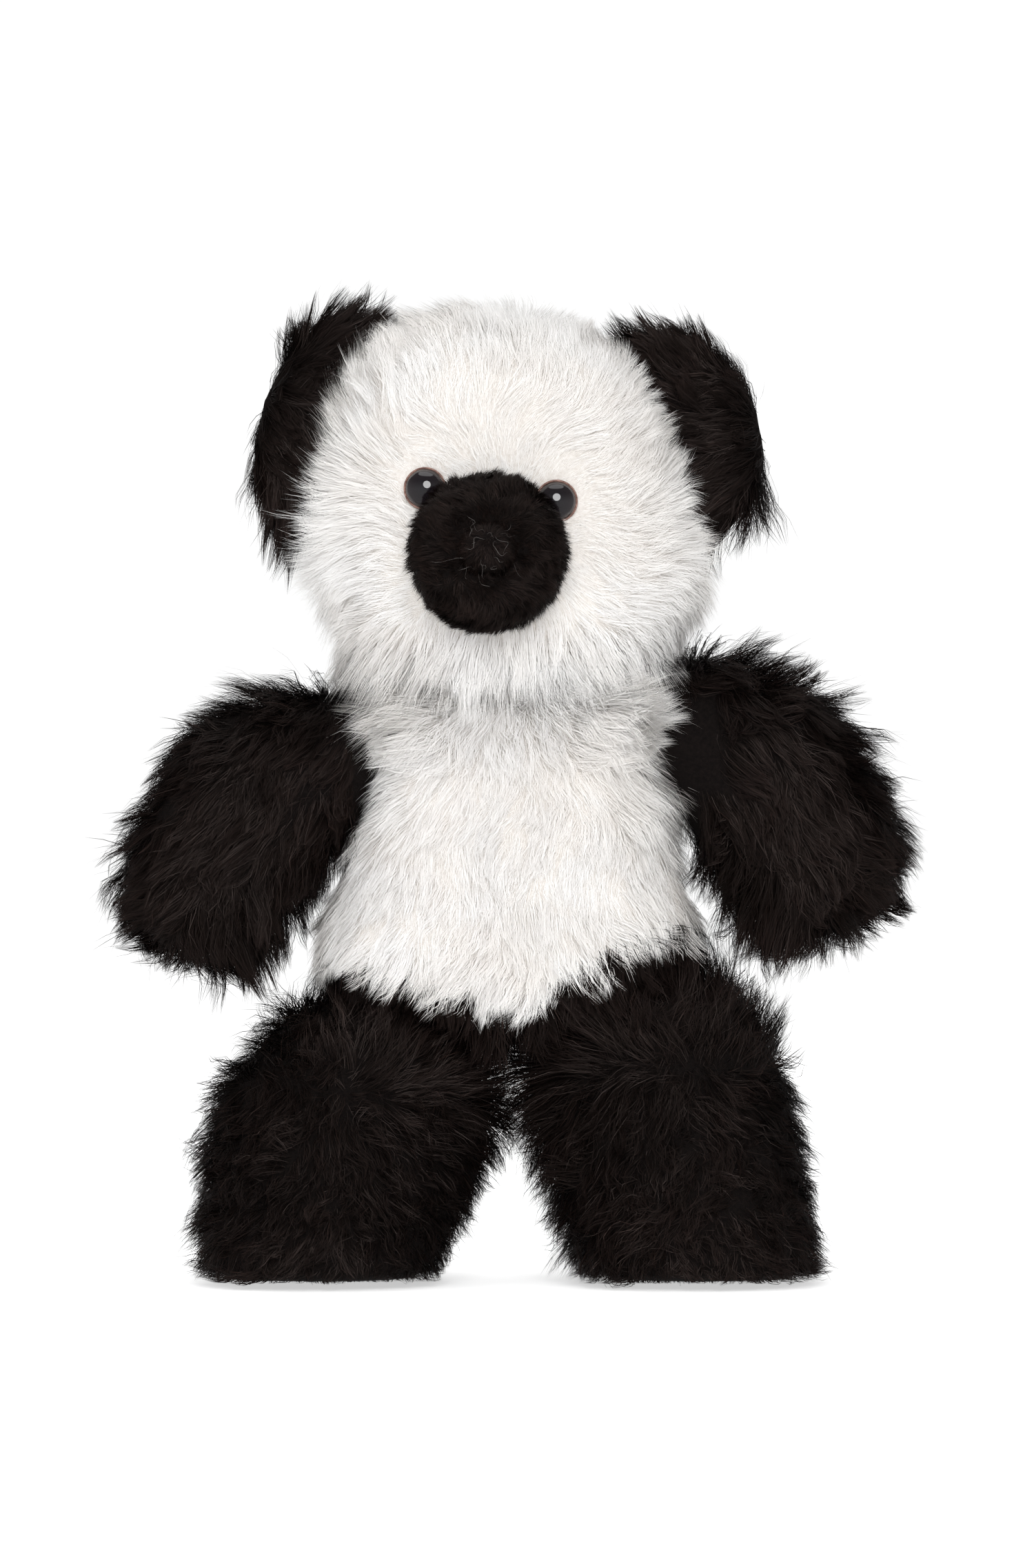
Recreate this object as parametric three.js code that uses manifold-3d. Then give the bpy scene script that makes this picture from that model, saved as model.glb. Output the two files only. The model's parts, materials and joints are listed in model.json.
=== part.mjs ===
// A soft plush panda in long-pile fur, standing on its own two feet, in millimetres with +Z up.
// It faces -Y, so its own left side is on +X. The origin is on the floor, under the middle of the whole toy.
// Each stuffed part is what a toy maker cuts and fills: fur panels sewn together around a core of fibre filling.
// The limbs are sewn on round ball-shaped ends, with a ring of closing thread at each one.
import * as THREE from "three";
import { ConvexGeometry } from "three/addons/geometries/ConvexGeometry.js";
import { mergeVertices } from "three/addons/utils/BufferGeometryUtils.js";
import Module from "manifold-3d";

const wasm = await Module();
wasm.setup();

// Driving dimensions
const PANEL = 3; // thickness of a fur panel, its pile pressed flat
const SEAM = 0.3; // gap between two panels, and between a panel and the filling
const THREAD = 0.6; // radius of the closing thread
const SOCKET_GAP = 2.6; // between a limb's ball and the hollow it is sewn into
const MIDDLE = [-0.15, 15.74]; // the toy's own centre line sits this far from the middle of its box
const FACE_ROLL = 4.5; // degrees about Y: the face is set a little crooked on the head
const BALLS_AROUND = 20; // facets round each rounded form
const BALLS_UP = 12;
const FAR = 400; // longer than the toy, for cutting blocks

// Colours
const WHITE_FUR = { color: 0xf1efec, roughness: 0.95 };
const BLACK_FUR = { color: 0x14110f, roughness: 0.95 };
const FILLING = { color: 0xfafafa, roughness: 1 };
const WHITE_THREAD = { color: 0xe9e6df, roughness: 0.8 };
const BLACK_THREAD = { color: 0x1a1817, roughness: 0.8 };
const EYE_PLASTIC = { color: 0x0b0a0c, roughness: 0.08 };
const WASHER_PLASTIC = { color: 0xdcdcd8, roughness: 0.5 };

// ---- Solids ----

// A closed three.js geometry as a solid that can be joined and cut.
function solidOf(geometry) {
  const bare = geometry.index ? geometry.toNonIndexed() : geometry.clone();
  bare.deleteAttribute("normal");
  bare.deleteAttribute("uv");
  const merged = mergeVertices(bare, 1e-4);
  const mesh = new wasm.Mesh({
    numProp: 3,
    vertProperties: merged.attributes.position.array,
    triVerts: merged.index.array,
  });
  return new wasm.Manifold(mesh);
}

function geometryOf(solid) {
  const { vertProperties, triVerts } = solid.getMesh();
  const geometry = new THREE.BufferGeometry();
  geometry.setAttribute("position", new THREE.BufferAttribute(vertProperties, 3));
  geometry.setIndex(new THREE.BufferAttribute(triVerts, 1));
  geometry.computeVertexNormals();
  return geometry;
}

// The skin stretched over several ellipsoids, each { at, r }, with every radius smaller by inset.
function hull(blobs, inset = 0) {
  const points = [];
  for (const { at, r } of blobs) {
    const ball = new THREE.SphereGeometry(1, BALLS_AROUND, BALLS_UP).rotateX(Math.PI / 2);
    const position = ball.attributes.position;
    for (let i = 0; i < position.count; i++) {
      const point = new THREE.Vector3().fromBufferAttribute(position, i);
      point.multiply(new THREE.Vector3(r[0] - inset, r[1] - inset, r[2] - inset));
      points.push(point.add(new THREE.Vector3(...at)));
    }
  }
  return solidOf(new ConvexGeometry(points));
}

const ball = (at, radius) => hull([{ at, r: [radius, radius, radius] }]);

function block(low, high) {
  const size = high.map((value, i) => value - low[i]);
  const middle = high.map((value, i) => (value + low[i]) / 2);
  return solidOf(new THREE.BoxGeometry(...size).translate(...middle));
}

// The half of space on one side of a plane square to an axis.
function half(axis, from, sign) {
  const low = [-FAR, -FAR, -FAR];
  const high = [FAR, FAR, FAR];
  (sign > 0 ? low : high)[axis] = from;
  return block(low, high);
}

// A turned form about an axis through a point: the profile is [radius, height] pairs that begin and end on the axis.
function turned(profile, at, axis, around = BALLS_AROUND) {
  const points = profile.map(([radius, height]) => new THREE.Vector2(radius, height));
  const geometry = new THREE.LatheGeometry(points, around);
  const turn = new THREE.Quaternion().setFromUnitVectors(new THREE.Vector3(0, 1, 0), axis);
  return solidOf(geometry.applyQuaternion(turn).translate(...at));
}

// A closed ring of thread about an axis through a point.
function threadRing(at, radius, axis) {
  const geometry = new THREE.TorusGeometry(radius, THREAD, 6, 28);
  const turn = new THREE.Quaternion().setFromUnitVectors(new THREE.Vector3(0, 0, 1), axis);
  return solidOf(geometry.applyQuaternion(turn).translate(...at));
}

// The closing thread in the gap round a ball: a ring at some degrees off the way the ball is sewn on.
function closingRing(pivot, ballRadius, toward, degrees) {
  const reach = ballRadius + SOCKET_GAP / 2;
  const angle = THREE.MathUtils.degToRad(degrees);
  const axis = new THREE.Vector3(...toward).normalize();
  const at = new THREE.Vector3(...pivot).addScaledVector(axis, reach * Math.cos(angle));
  return threadRing(at.toArray(), reach * Math.sin(angle), axis);
}

// ---- The scene graph: one group for each part that moves, at its pivot ----

const panda = new THREE.Group();
panda.position.set(MIDDLE[0], MIDDLE[1], 0);

function bodyGroup(parent, pivot) {
  const group = new THREE.Group();
  group.userData.pivot = pivot;
  const from = parent.userData.pivot ?? [0, 0, 0];
  group.position.set(pivot[0] - from[0], pivot[1] - from[1], pivot[2] - from[2]);
  parent.add(group);
  return group;
}

function addNode(group, name, solid, look) {
  const [x, y, z] = group.userData.pivot;
  const material = new THREE.MeshStandardMaterial({ metalness: 0, ...look });
  const mesh = new THREE.Mesh(geometryOf(solid).translate(-x, -y, -z), material);
  mesh.name = name;
  group.add(mesh);
}

// ---- Pivots ----

const NECK = [-1, 0, 187];
const SHOULDER = { right: [-55, 0, 164], left: [55, 0, 175] };
const HIP = { right: [-49, 2, 56], left: [49, 2, 64] };
const NECK_BALL = 16;
const SHOULDER_BALL = 20;
const HIP_BALL = 33;
const SIDES = { right: -1, left: 1 };

// ---- Torso ----

const torsoBlobs = [
  { at: [-0.3, 0, 105.5], r: [59, 38, 25] }, // belly
  { at: [0, 3, 102], r: [40, 31, 19] }, // seat
  { at: [-21, 2, 162], r: [16.6, 27, 26] }, // shoulders
  { at: [23, 2, 167], r: [17.8, 27, 27] },
];

// Everything above a shallow cone that falls away from the neck, so that the head has room to nod.
const TORSO_SLOPE = THREE.MathUtils.degToRad(5);
const HEAD_SLOPE = THREE.MathUtils.degToRad(13);
const NECK_OPENING = 1.2;

function aboveTorso(drop) {
  const rim = FAR * Math.tan(TORSO_SLOPE);
  const profile = [
    [0, -NECK_OPENING - drop],
    [FAR, -NECK_OPENING - drop - rim],
    [FAR, FAR],
    [0, FAR],
  ];
  return turned(profile, NECK, new THREE.Vector3(0, 0, 1));
}

function torsoSolid(inset) {
  let solid = hull(torsoBlobs, inset).subtract(aboveTorso(inset));
  solid = solid.subtract(ball(NECK, NECK_BALL + 1 + inset));
  for (const side of Object.keys(SIDES)) {
    solid = solid.subtract(ball(SHOULDER[side], SHOULDER_BALL + SOCKET_GAP + inset));
    solid = solid.subtract(ball(HIP[side], HIP_BALL + SOCKET_GAP + inset));
  }
  return solid;
}

const torso = bodyGroup(panda, [0, 0, 0]);
const torsoSkin = torsoSolid(0).subtract(torsoSolid(PANEL));
addNode(torso, "torso_front_panel", torsoSkin.intersect(half(1, -SEAM / 2, -1)), WHITE_FUR);
for (const [side, sign] of Object.entries(SIDES)) {
  const back = torsoSkin.intersect(half(1, SEAM / 2, 1)).intersect(half(0, (sign * SEAM) / 2, sign));
  addNode(torso, `torso_back_${side}_panel`, back, WHITE_FUR);
}
addNode(torso, "torso_stuffing", torsoSolid(PANEL + SEAM), FILLING);

// The back seam is closed by hand with ladder stitches: a zigzag of thread that lies on the two back panels.
const STITCH = { low: 100, high: 150, step: 5, reach: 2.4, width: 1.2 };

function stitchOutline() {
  const turns = [];
  for (let z = STITCH.low, flip = 1; z <= STITCH.high; z += STITCH.step, flip = -flip) {
    turns.push([flip * STITCH.reach, z]);
  }
  const outline = new THREE.Shape(turns.map(([x, z]) => new THREE.Vector2(x - STITCH.width / 2, z)));
  for (const [x, z] of turns.reverse()) outline.lineTo(x + STITCH.width / 2, z);
  return outline;
}

const stitchBlock = new THREE.ExtrudeGeometry(stitchOutline(), { depth: 80, bevelEnabled: false });
stitchBlock.rotateX(Math.PI / 2).translate(0, 80, 0);
const stitchLayer = hull(torsoBlobs, -SEAM - 2 * THREAD).subtract(hull(torsoBlobs, -SEAM));
addNode(torso, "back_closing_thread", stitchLayer.intersect(solidOf(stitchBlock)), WHITE_THREAD);

for (const [side, sign] of Object.entries(SIDES)) {
  const ring = closingRing(HIP[side], HIP_BALL, [-sign * 0.27, 0, 1], 28);
  addNode(torso, `${side}_hip_thread`, ring, BLACK_THREAD);
}

// ---- Neck: the wad of filling that the head is sewn round ----

const neck = bodyGroup(torso, NECK);
addNode(neck, "neck_stuffing", ball(NECK, NECK_BALL), FILLING);
addNode(
  neck,
  "neck_thread",
  threadRing(NECK, NECK_BALL + 2 * THREAD + SEAM, new THREE.Vector3(0, 0, 1)),
  WHITE_THREAD,
);

// ---- Head ----

const FACE = [-6.2, 0, 239]; // the middle of the face, a little to one side of the head's own middle

const headBlobs = [
  { at: [-14, 2, 262], r: [38.5, 43, 39.5] }, // crown
  { at: [8, 2, 259], r: [38, 43, 38] },
  { at: [-15, 0, 226], r: [42, 44, 36] }, // cheeks
  { at: [16, 0, 223], r: [42, 44, 36] },
  { at: [0, 0, 207], r: [51, 39, 22] }, // jaw
];

// A place, or a direction, given on an upright face: x across it, z up it, y through the head.
const roll = new THREE.Matrix4().makeRotationY(THREE.MathUtils.degToRad(FACE_ROLL));
const onFace = (x, y, z) =>
  new THREE.Vector3(x, y, z).applyMatrix4(roll).add(new THREE.Vector3(...FACE)).toArray();
const alongFace = (x, y, z) => new THREE.Vector3(x, y, z).applyMatrix4(roll).normalize();

function belowHead(lift) {
  const rim = FAR * Math.tan(HEAD_SLOPE);
  const profile = [
    [0, -FAR],
    [FAR, -FAR],
    [FAR, NECK_OPENING + lift + rim],
    [0, NECK_OPENING + lift],
  ];
  return turned(profile, NECK, new THREE.Vector3(0, 0, 1));
}

function headSolid(inset) {
  const whole = hull(headBlobs, inset).subtract(belowHead(inset));
  return whole.subtract(ball(NECK, NECK_BALL + 1 + inset));
}

const headShape = geometryOf(hull(headBlobs));

// The place on the head's skin straight behind a point in front of the face, and the way the skin faces there.
function faceSkin(x, z) {
  const mesh = new THREE.Mesh(headShape, new THREE.MeshBasicMaterial());
  const from = new THREE.Vector3(...onFace(x, -150, z));
  const hit = new THREE.Raycaster(from, new THREE.Vector3(0, 1, 0)).intersectObject(mesh)[0];
  return { at: hit.point, facing: hit.face.normal.clone().normalize() };
}

// Safety eyes: a domed cap on a stem, held by a washer behind the fur.
const EYE = { radius: 6, dome: 3.8, stem: 1.5, stemLength: 11, clear: 0.4, apart: 21.5, height: 5.5 };
const WASHER = { radius: 5.5, thick: 1.2, depth: 5.8 };

function eyeProfile(grow) {
  const dome = [];
  for (let i = 0; i <= 6; i++) {
    const angle = (i / 6) * (Math.PI / 2);
    dome.push([(EYE.radius + grow) * Math.cos(angle), (EYE.dome + grow) * Math.sin(angle)]);
  }
  dome[6][0] = 0;
  return [
    [0, -EYE.stemLength - grow],
    [EYE.stem + grow, -EYE.stemLength - grow],
    [EYE.stem + grow, -grow],
    [EYE.radius + grow, -grow],
    ...dome,
  ];
}

const washerProfile = (grow) => [
  [EYE.stem + 0.3 - grow, -WASHER.depth + grow],
  [EYE.stem + 0.3 - grow, -WASHER.depth - WASHER.thick - grow],
  [WASHER.radius + grow, -WASHER.depth - WASHER.thick - grow],
  [WASHER.radius + grow, -WASHER.depth + grow],
  [EYE.stem + 0.3 - grow, -WASHER.depth + grow],
];

const pocketProfile = [
  [0, -EYE.stemLength - 1],
  [EYE.stem + EYE.clear, -EYE.stemLength - 1],
  [EYE.stem + EYE.clear, -WASHER.depth - WASHER.thick - SEAM],
  [WASHER.radius + SEAM, -WASHER.depth - WASHER.thick - SEAM],
  [WASHER.radius + SEAM, -PANEL + 1],
  [0, -PANEL + 1],
];

const stemHoleProfile = [
  [0, -EYE.stemLength],
  [EYE.stem + EYE.clear, -EYE.stemLength],
  [EYE.stem + EYE.clear, 2],
  [0, 2],
];

const eyes = Object.entries(SIDES).map(([side, sign]) => {
  const { at, facing } = faceSkin(sign * EYE.apart, EYE.height);
  const look = facing.lerp(new THREE.Vector3(0, -1, 0), 0.35).normalize();
  return { side, look, at: at.addScaledVector(look, 1.2).toArray() };
});

const head = bodyGroup(neck, NECK);
let headSkin = headSolid(0).subtract(headSolid(PANEL));
let headFilling = headSolid(PANEL + SEAM);
for (const { at, look } of eyes) {
  headSkin = headSkin.subtract(turned(stemHoleProfile, at, look, 12));
  headFilling = headFilling.subtract(turned(pocketProfile, at, look, 16));
}
const GUSSET = { low: -16, high: 10 }; // the strip that runs over the middle of the head
addNode(
  head,
  "head_gusset_panel",
  headSkin.intersect(half(0, GUSSET.low, 1)).intersect(half(0, GUSSET.high, -1)),
  WHITE_FUR,
);
addNode(head, "head_right_panel", headSkin.intersect(half(0, GUSSET.low - SEAM, -1)), WHITE_FUR);
addNode(head, "head_left_panel", headSkin.intersect(half(0, GUSSET.high + SEAM, 1)), WHITE_FUR);
addNode(head, "head_stuffing", headFilling, FILLING);
for (const { side, at, look } of eyes) {
  addNode(head, `${side}_eye`, turned(eyeProfile(0), at, look, 24), EYE_PLASTIC);
  addNode(head, `${side}_eye_washer`, turned(washerProfile(0), at, look, 16), WASHER_PLASTIC);
}

// The muzzle is a short padded drum of clipped fur with a dimple for the nose, sewn flat on the face.
const MUZZLE = { radius: 22.6, front: -71, below: 14, aside: 0.6 };
const muzzleAt = onFace(MUZZLE.aside, 0, -MUZZLE.below);
const muzzleAxis = alongFace(0, -1, 0.02);

function muzzleProfile(inset) {
  const front = -MUZZLE.front - inset;
  const radius = MUZZLE.radius - inset;
  return [
    [0, 20],
    [radius - 1, 20],
    [radius, front - 14],
    [radius - 1, front - 8],
    [radius - 4, front - 3],
    [radius - 8.5, front],
    [radius - 13, front - 1],
    [0, front - 2.5],
  ];
}

const muzzleSolid = (inset, clearance) =>
  turned(muzzleProfile(inset), muzzleAt, muzzleAxis, 28).subtract(hull(headBlobs, -clearance));
const eyeRoom = eyes.map(({ at, look }) => turned(eyeProfile(SEAM), at, look, 24));
const muzzleCover = eyeRoom.reduce(
  (solid, room) => solid.subtract(room),
  muzzleSolid(0, SEAM).subtract(muzzleSolid(PANEL - 0.5, 0)),
);
addNode(head, "muzzle_cover", muzzleCover, BLACK_FUR);
addNode(head, "muzzle_stuffing", muzzleSolid(PANEL - 0.5 + SEAM, SEAM), FILLING);
const noseAt = new THREE.Vector3(...muzzleAt).addScaledVector(muzzleAxis, -MUZZLE.front - 1).toArray();
const nose = hull([{ at: noseAt, r: [8.4, 6.5, 7.6] }]);
addNode(head, "nose", nose.subtract(turned(muzzleProfile(-SEAM), muzzleAt, muzzleAxis, 28)), BLACK_FUR);

// ---- Ears: two thin panels back to back, folding along the line where they are sewn on ----

const EAR = {
  half: 28, // half the length of the line it is sewn along
  edge: 3.6,
  right: { at: [-56.7, 6, 268], lean: 20, reach: 18 }, // lean: degrees the lower end stands out
  left: { at: [51.5, 6, 263], lean: 20, reach: 24 },
};
for (const [side, sign] of Object.entries(SIDES)) {
  const pivot = EAR[side].at;
  const lean = THREE.MathUtils.degToRad(EAR[side].lean);
  const along = new THREE.Vector3(sign * Math.sin(lean), 0, -Math.cos(lean));
  const outward = new THREE.Vector3(sign * Math.cos(lean), 0, Math.sin(lean));
  const rim = [[-EAR.half, 0]];
  for (let i = 0; i <= 6; i++) {
    const angle = (i / 6) * Math.PI;
    rim.push([-EAR.half * Math.cos(angle), 2 + (EAR[side].reach - 2) * Math.sin(angle) ** 0.8]);
  }
  rim.push([EAR.half, 0]);
  const blobs = rim.map(([a, b]) => ({
    at: new THREE.Vector3(...pivot).addScaledVector(along, a).addScaledVector(outward, b).toArray(),
    r: [EAR.edge, EAR.edge, EAR.edge],
  }));
  const flap = earFlap(blobs);
  const ear = bodyGroup(head, pivot);
  addNode(ear, `${side}_ear_front_panel`, flap.intersect(half(1, pivot[1] - SEAM / 2, -1)), BLACK_FUR);
  addNode(ear, `${side}_ear_back_panel`, flap.intersect(half(1, pivot[1] + SEAM / 2, 1)), BLACK_FUR);
}

// The same skin as hull() gives, over small balls with fewer facets.
function earFlap(blobs) {
  const points = [];
  for (const { at, r } of blobs) {
    const small = new THREE.SphereGeometry(r[0], 10, 8).rotateX(Math.PI / 2).translate(...at);
    const position = small.attributes.position;
    for (let i = 0; i < position.count; i++) {
      points.push(new THREE.Vector3().fromBufferAttribute(position, i));
    }
  }
  return solidOf(new ConvexGeometry(points));
}

// ---- Arms: two panels round a filling, on a ring of thread at the shoulder ----

const ARM = {
  right: [
    { at: [-81.5, 0, 153.5], r: [25, 22, 25] }, // elbow
    { at: [-94.5, 0, 126.5], r: [24, 22, 24.5] }, // paw
  ],
  left: [
    { at: [82, 0, 162.5], r: [22, 22, 23] },
    { at: [93.5, 0, 135], r: [25.3, 22, 25.5] },
  ],
};
for (const [side, sign] of Object.entries(SIDES)) {
  const y = SHOULDER[side][1];
  const root = { at: SHOULDER[side], r: [SHOULDER_BALL, SHOULDER_BALL, SHOULDER_BALL] };
  const blobs = [root, ...ARM[side]];
  const shoulder = bodyGroup(torso, SHOULDER[side]);
  const ring = closingRing(SHOULDER[side], SHOULDER_BALL, [-sign, 0, 0], 45);
  addNode(shoulder, `${side}_shoulder_thread`, ring, BLACK_THREAD);
  const arm = bodyGroup(shoulder, SHOULDER[side]);
  const skin = hull(blobs).subtract(hull(blobs, PANEL));
  addNode(arm, `${side}_arm_front_panel`, skin.intersect(half(1, y - SEAM / 2, -1)), BLACK_FUR);
  addNode(arm, `${side}_arm_back_panel`, skin.intersect(half(1, y + SEAM / 2, 1)), BLACK_FUR);
  addNode(arm, `${side}_arm_stuffing`, hull(blobs, PANEL + SEAM), FILLING);
}

// ---- Legs: two panels and a flat sole round a filling ----

const SHIN = {
  right: { at: [-50, -2, 45], r: [43, 29, 36] },
  left: { at: [49.5, -2, 50], r: [38.5, 29, 39] },
};
const THIGH = {
  right: { at: [-38, 0, 52], r: [32, 26, 27] },
  left: { at: [39, 0, 57.5], r: [32, 26, 26] },
};
const HAUNCH = {
  right: { at: [-61, 0, 62], r: [20, 22, 20] },
  left: { at: [61, 0, 68], r: [20, 22, 22] },
};
const FOOT = { out: 9.5, width: 34.5, front: -24, back: 18, z: 11, height: 20 };
const SOLE_INSET = 4;
for (const [side, sign] of Object.entries(SIDES)) {
  const [x, y, z] = HIP[side];
  const footX = x + sign * FOOT.out;
  const blobs = [
    { at: [x, y, z], r: [HIP_BALL, HIP_BALL, HIP_BALL] },
    SHIN[side],
    THIGH[side],
    HAUNCH[side],
    { at: [footX, FOOT.front, FOOT.z], r: [FOOT.width, 27, FOOT.height] },
    { at: [footX, FOOT.back, FOOT.z], r: [FOOT.width - 1, 24, FOOT.height] },
  ];
  const whole = hull(blobs).intersect(half(2, 0, 1));
  const hollow = hull(blobs, PANEL).intersect(half(2, 0, 1));
  const soleTop = PANEL;
  const soleArea = hull(blobs, SOLE_INSET).intersect(block([-FAR, -FAR, 0], [FAR, FAR, soleTop]));
  const soleRoom = hull(blobs, SOLE_INSET - SEAM).intersect(half(2, soleTop + SEAM, -1));
  const tube = whole.subtract(hollow.intersect(half(2, soleTop + SEAM, 1))).subtract(soleRoom);
  const leg = bodyGroup(torso, HIP[side]);
  const inner = sign > 0 ? -1 : 1;
  const seamAt = x + sign * 4;
  addNode(
    leg,
    `${side}_leg_outer_panel`,
    tube.intersect(half(0, seamAt + (sign * SEAM) / 2, sign)),
    BLACK_FUR,
  );
  addNode(
    leg,
    `${side}_leg_inner_panel`,
    tube.intersect(half(0, seamAt - (sign * SEAM) / 2, inner)),
    BLACK_FUR,
  );
  addNode(leg, `${side}_sole_panel`, soleArea, BLACK_FUR);
  const filling = hull(blobs, PANEL + SEAM).intersect(half(2, soleTop + 2 * SEAM, 1));
  addNode(leg, `${side}_leg_stuffing`, filling, FILLING);
}

export default panda;
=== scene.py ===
# The plush panda's looks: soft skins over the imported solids, with real strands of fur grown on them.
# Lengths are in millimetres, and become the frame's metres where a mesh is made. The toy faces -Y and its
# left is +X. sign is +1 on its left side and -1 on its right. Arrays called at and normal hold each strand's
# place on a skin and the skin's normal there.
import json
import math

import bmesh
import bpy
import numpy as np
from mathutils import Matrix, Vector, kdtree


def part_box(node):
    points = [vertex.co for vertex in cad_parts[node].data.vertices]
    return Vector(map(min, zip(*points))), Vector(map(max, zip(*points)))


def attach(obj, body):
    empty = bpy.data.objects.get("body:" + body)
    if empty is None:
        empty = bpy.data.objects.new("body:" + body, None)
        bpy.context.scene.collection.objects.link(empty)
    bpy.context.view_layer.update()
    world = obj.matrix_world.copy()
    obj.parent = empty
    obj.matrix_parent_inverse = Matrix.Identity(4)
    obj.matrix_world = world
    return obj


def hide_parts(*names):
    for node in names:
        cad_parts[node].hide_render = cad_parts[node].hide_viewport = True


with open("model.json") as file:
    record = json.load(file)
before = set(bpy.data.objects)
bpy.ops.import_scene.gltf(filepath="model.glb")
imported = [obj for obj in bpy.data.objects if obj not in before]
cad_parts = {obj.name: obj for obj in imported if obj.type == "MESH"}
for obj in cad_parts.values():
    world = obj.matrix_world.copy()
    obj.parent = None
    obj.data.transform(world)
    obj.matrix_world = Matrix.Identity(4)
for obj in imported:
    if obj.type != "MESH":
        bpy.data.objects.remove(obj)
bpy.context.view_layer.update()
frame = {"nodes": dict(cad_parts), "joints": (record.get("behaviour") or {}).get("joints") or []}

MM = 0.001
scene = bpy.context.scene
JOINTS = {j["name"]: j for j in frame["joints"]}


def joint_at(name):
    return np.array(JOINTS[name]["pos_m"]) / MM


def box(node):
    low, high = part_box(node)
    return np.array(low) / MM, np.array(high) / MM


def middle(node):
    low, high = box(node)
    return (low + high) / 2


def corner_places(mesh):
    """Where a mesh's vertices are, in millimetres."""
    places = np.empty(len(mesh.vertices) * 3)
    mesh.vertices.foreach_get("co", places)
    return places.reshape(-1, 3) / MM


# ---------------------------------------------------------------- materials

class Nodes:
    """A small helper that builds a node material."""

    def __init__(self, name, roughness=0.6, specular=0.4):
        self.material = bpy.data.materials.new(name)
        self.material.use_nodes = True
        self.tree = self.material.node_tree
        self.shader = self.tree.nodes["Principled BSDF"]
        self.shader.inputs["Roughness"].default_value = roughness
        self.shader.inputs["Specular IOR Level"].default_value = specular

    def add(self, kind, **values):
        node = self.tree.nodes.new(kind)
        for key, value in values.items():
            if key in node.inputs:
                node.inputs[key].default_value = value
            else:
                setattr(node, key, value)
        return node

    def link(self, a, b):
        self.tree.links.new(a, b)

    def ramp(self, source, stops):
        node = self.add("ShaderNodeValToRGB")
        elements = node.color_ramp.elements
        elements[0].position, elements[0].color = stops[0][0], (*stops[0][1], 1)
        elements[1].position, elements[1].color = stops[-1][0], (*stops[-1][1], 1)
        for at, colour in stops[1:-1]:
            elements.new(at).color = (*colour, 1)
        self.link(source, node.inputs["Fac"])
        return node.outputs["Color"]

    def mix(self, a, b, factor, blend="MIX"):
        # A colour Mix node's factor is input 0, its colours are inputs 6 and 7, and its result is output 2.
        node = self.add("ShaderNodeMix", data_type="RGBA", blend_type=blend)
        for value, at in ((factor, 0), (a, 6), (b, 7)):
            if hasattr(value, "links"):
                self.link(value, node.inputs[at])
            elif at == 0:
                node.inputs[at].default_value = value
            else:
                node.inputs[at].default_value = (*value, 1)
        return node.outputs[2]

    def math(self, operation, a, b=0.0):
        node = self.add("ShaderNodeMath", operation=operation)
        for i, value in enumerate((a, b)):
            if hasattr(value, "links"):
                self.link(value, node.inputs[i])
            else:
                node.inputs[i].default_value = value
        return node.outputs[0]

    def noise(self, scale, detail=4, roughness=0.6, distortion=0.0):
        place = self.add("ShaderNodeTexCoord")
        node = self.add("ShaderNodeTexNoise", Scale=scale, Detail=detail, Roughness=roughness,
                        Distortion=distortion)
        self.link(place.outputs["Object"], node.inputs["Vector"])
        return node.outputs["Fac"]

    def bump(self, height, strength=0.4, distance=0.0005):
        node = self.add("ShaderNodeBump", Strength=strength, Distance=distance)
        self.link(height, node.inputs["Height"])
        self.link(node.outputs["Normal"], self.shader.inputs["Normal"])

    def colour(self, socket):
        self.link(socket, self.shader.inputs["Base Color"])


STRAND_UV = "OFBake"  # u says which of the columns of colour a strand has, v runs from root to tip
STRAND_COLUMNS = 64


def strand_material(name, along, shades, patch, roughness, specular, tint=(1, 1, 1), patches=28):
    """Fur: along is the colour from root to tip, shades multiplies it from one strand to the next, and
    patch multiplies it over the coat in wide soft patches."""
    m = Nodes(name, roughness, specular)
    uv = m.add("ShaderNodeUVMap", uv_map=STRAND_UV)
    split = m.add("ShaderNodeSeparateXYZ")
    m.link(uv.outputs["UV"], split.inputs[0])
    column = m.math("FLOOR", m.math("MULTIPLY", split.outputs["X"], STRAND_COLUMNS))
    random = m.add("ShaderNodeTexWhiteNoise", noise_dimensions="1D")
    m.link(column, random.inputs["W"])
    shade = m.ramp(random.outputs["Value"], shades)
    strand = m.mix(m.ramp(split.outputs["Y"], along), shade, 1.0, "MULTIPLY")
    wide = m.ramp(m.noise(patches, 3, 0.55, 0.4), [(0.36, patch[0]), (0.64, patch[1])])
    m.colour(m.mix(strand, wide, 1.0, "MULTIPLY"))
    m.shader.inputs["Specular Tint"].default_value = (*tint, 1)
    return m.material


# The white underfur is a cream made darker than the pile, as painted shade that shows in the gaps between
# strands.
WHITE_UNDERFUR_AND_PAINTED_SHADE = ((0.62, 0.58, 0.54), (0.76, 0.73, 0.70))
BLACK_UNDERFUR = ((0.0020, 0.0013, 0.0012), (0.0060, 0.0040, 0.0035))
WARM = (1.0, 0.80, 0.74)
WHITE_PART = "white_part"


def hide_material(name, dark, light, scale=900, other=None):
    """The woven backing and dense underfur that the strands grow from, in the other colour where the skin's
    white_part is 0. The white one is a cream made darker than the pile, as painted shade in the gaps between
    strands."""
    m = Nodes(name, 0.9, 0.1)
    fine = m.noise(scale, 6, 0.7)
    colour = m.ramp(fine, [(0.35, dark), (0.65, light)])
    if other is not None:
        part = m.add("ShaderNodeAttribute", attribute_name=WHITE_PART)
        colour = m.mix(m.ramp(fine, [(0.35, other[0]), (0.65, other[1])]), colour, part.outputs["Fac"])
    m.colour(colour)
    m.bump(fine, 0.6, 0.0006)
    return m.material


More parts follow.
